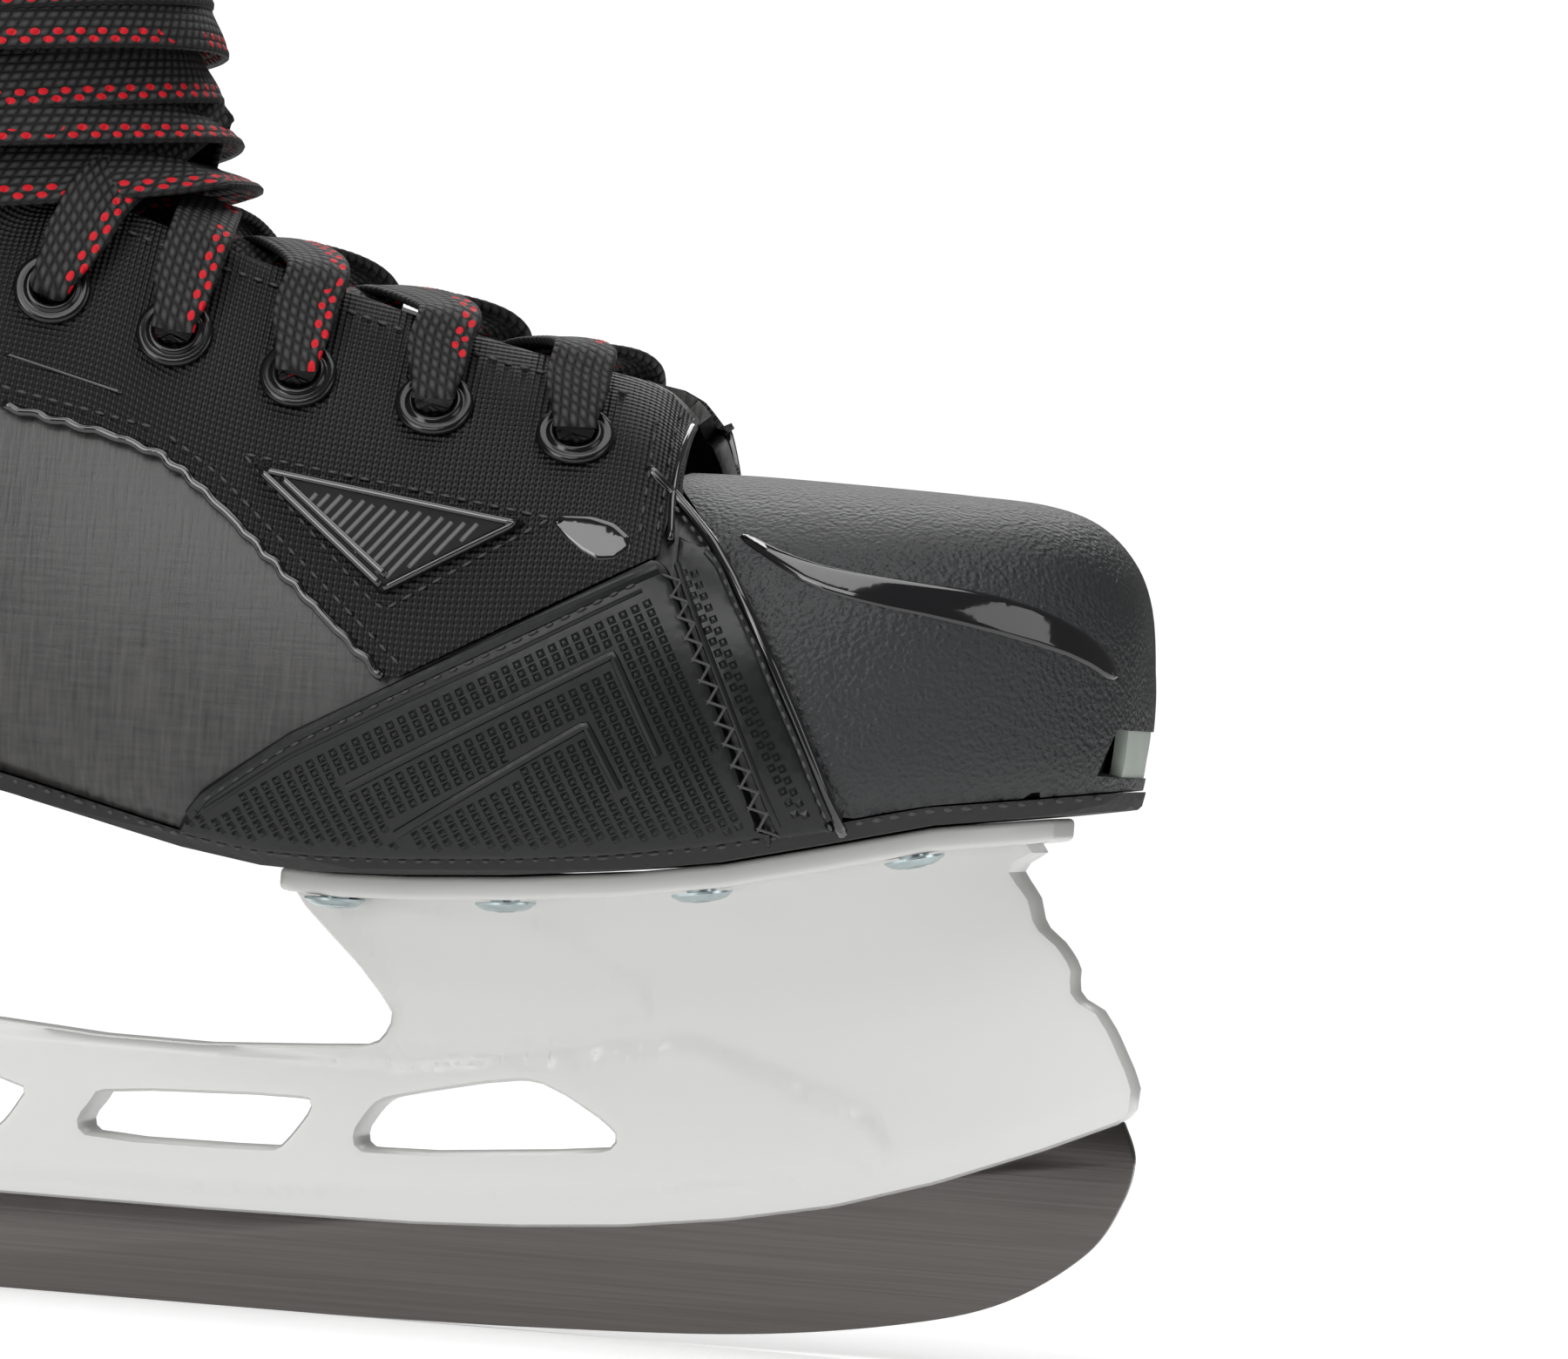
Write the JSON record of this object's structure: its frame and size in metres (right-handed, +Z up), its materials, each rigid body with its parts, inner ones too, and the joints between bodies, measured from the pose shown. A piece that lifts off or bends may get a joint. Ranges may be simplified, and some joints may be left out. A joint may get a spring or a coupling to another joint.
{
  "type": "ice hockey skate",
  "caption": "Right ice hockey skate: laced composite boot with hard toe cap and tendon guard, white two-tower holder, steel runner and quick-release trigger.",
  "frame": {"origin": "on the ice under the middle of the skate, at the centre of the bottom of its bounding box", "axes": "+X to the toe, +Y to the inner (medial) side of this right skate, +Z up"},
  "size_m": [0.2986, 0.1008, 0.283],
  "materials": {
    "composite": "satin woven",
    "heel_shell": "satin",
    "nylon": "matte woven",
    "rubbery_panel": "satin, moulded bumps",
    "gloss_black": "gloss",
    "cap_plastic": "fine leather grain",
    "pale_bumper": "satin",
    "sole_black": "matte",
    "board": "matte",
    "lining": "brushed",
    "footbed": "felt",
    "guard_plastic": "satin",
    "tongue_felt": "felt",
    "lace": "coarse braid",
    "lace_tip": "gloss",
    "holder_white": "gloss",
    "runner_steel": "brushed",
    "trigger_plastic": "satin",
    "spring_steel": "bright",
    "eyelet": "gloss",
    "rivet": "bright, cool tinge"
  },
  "bodies": {
    "boot": {"quarter_lateral": "composite", "quarter_medial": "composite", "heel_counter": "heel_shell", "eyestay_lateral": "nylon", "eyestay_medial": "nylon", "forefoot_panel_lateral": "rubbery_panel", "forefoot_panel_medial": "rubbery_panel", "toe_band_lateral": "rubbery_panel", "toe_band_medial": "rubbery_panel", "badge_lateral": "gloss_black", "badge_medial": "gloss_black", "toe_cap": "cap_plastic", "toe_trim": "gloss_black", "toe_bumper": "pale_bumper", "outsole": "sole_black", "insole_board": "board", "liner": "lining", "footbed": "footbed", "tongue": "tongue_felt", "lace": "lace", "lace_tip_lateral": "lace_tip", "lace_tip_medial": "lace_tip", "blade_holder": "holder_white", "trigger_pin": "spring_steel", "trigger_spring": "spring_steel", "eyelet_lateral_1": "eyelet", "eyelet_lateral_2": "eyelet", "eyelet_lateral_3": "eyelet", "eyelet_lateral_4": "eyelet", "eyelet_lateral_5": "eyelet", "eyelet_lateral_6": "eyelet", "eyelet_lateral_7": "eyelet", "eyelet_lateral_8": "eyelet", "eyelet_lateral_9": "eyelet", "eyelet_medial_1": "eyelet", "eyelet_medial_2": "eyelet", "eyelet_medial_3": "eyelet", "eyelet_medial_4": "eyelet", "eyelet_medial_5": "eyelet", "eyelet_medial_6": "eyelet", "eyelet_medial_7": "eyelet", "eyelet_medial_8": "eyelet", "eyelet_medial_9": "eyelet", "rivet_front_lateral_1": "rivet", "rivet_front_medial_1": "rivet", "rivet_front_lateral_2": "rivet", "rivet_front_medial_2": "rivet", "rivet_front_lateral_3": "rivet", "rivet_front_medial_3": "rivet", "rivet_front_lateral_4": "rivet", "rivet_front_medial_4": "rivet", "rivet_rear_lateral_1": "rivet", "rivet_rear_medial_1": "rivet", "rivet_rear_lateral_2": "rivet", "rivet_rear_medial_2": "rivet", "rivet_rear_lateral_3": "rivet", "rivet_rear_medial_3": "rivet"},
    "runner_body": {"runner": "runner_steel"},
    "trigger_body": {"release_trigger": "trigger_plastic"},
    "guard_body": {"tendon_guard": "guard_plastic"}
  },
  "joints": [
    {"name": "runner_swing", "type": "hinge", "parent": "boot", "child": "runner_body", "pos_m": [0.1472, 0, 0.0384], "axis": [0, -1, 0], "range_deg": [0, 9]},
    {"name": "trigger_pull", "type": "hinge", "parent": "boot", "child": "trigger_body", "pos_m": [-0.071, 0, 0.057], "axis": [0, -1, 0], "range_deg": [0, 20], "stiffness_Nm_per_rad": 0.08},
    {"name": "guard_flex", "type": "hinge", "parent": "boot", "child": "guard_body", "pos_m": [-0.126, 0, 0.2154], "axis": [0, -1, 0], "range_deg": [0, 15], "stiffness_Nm_per_rad": 6}
  ]
}
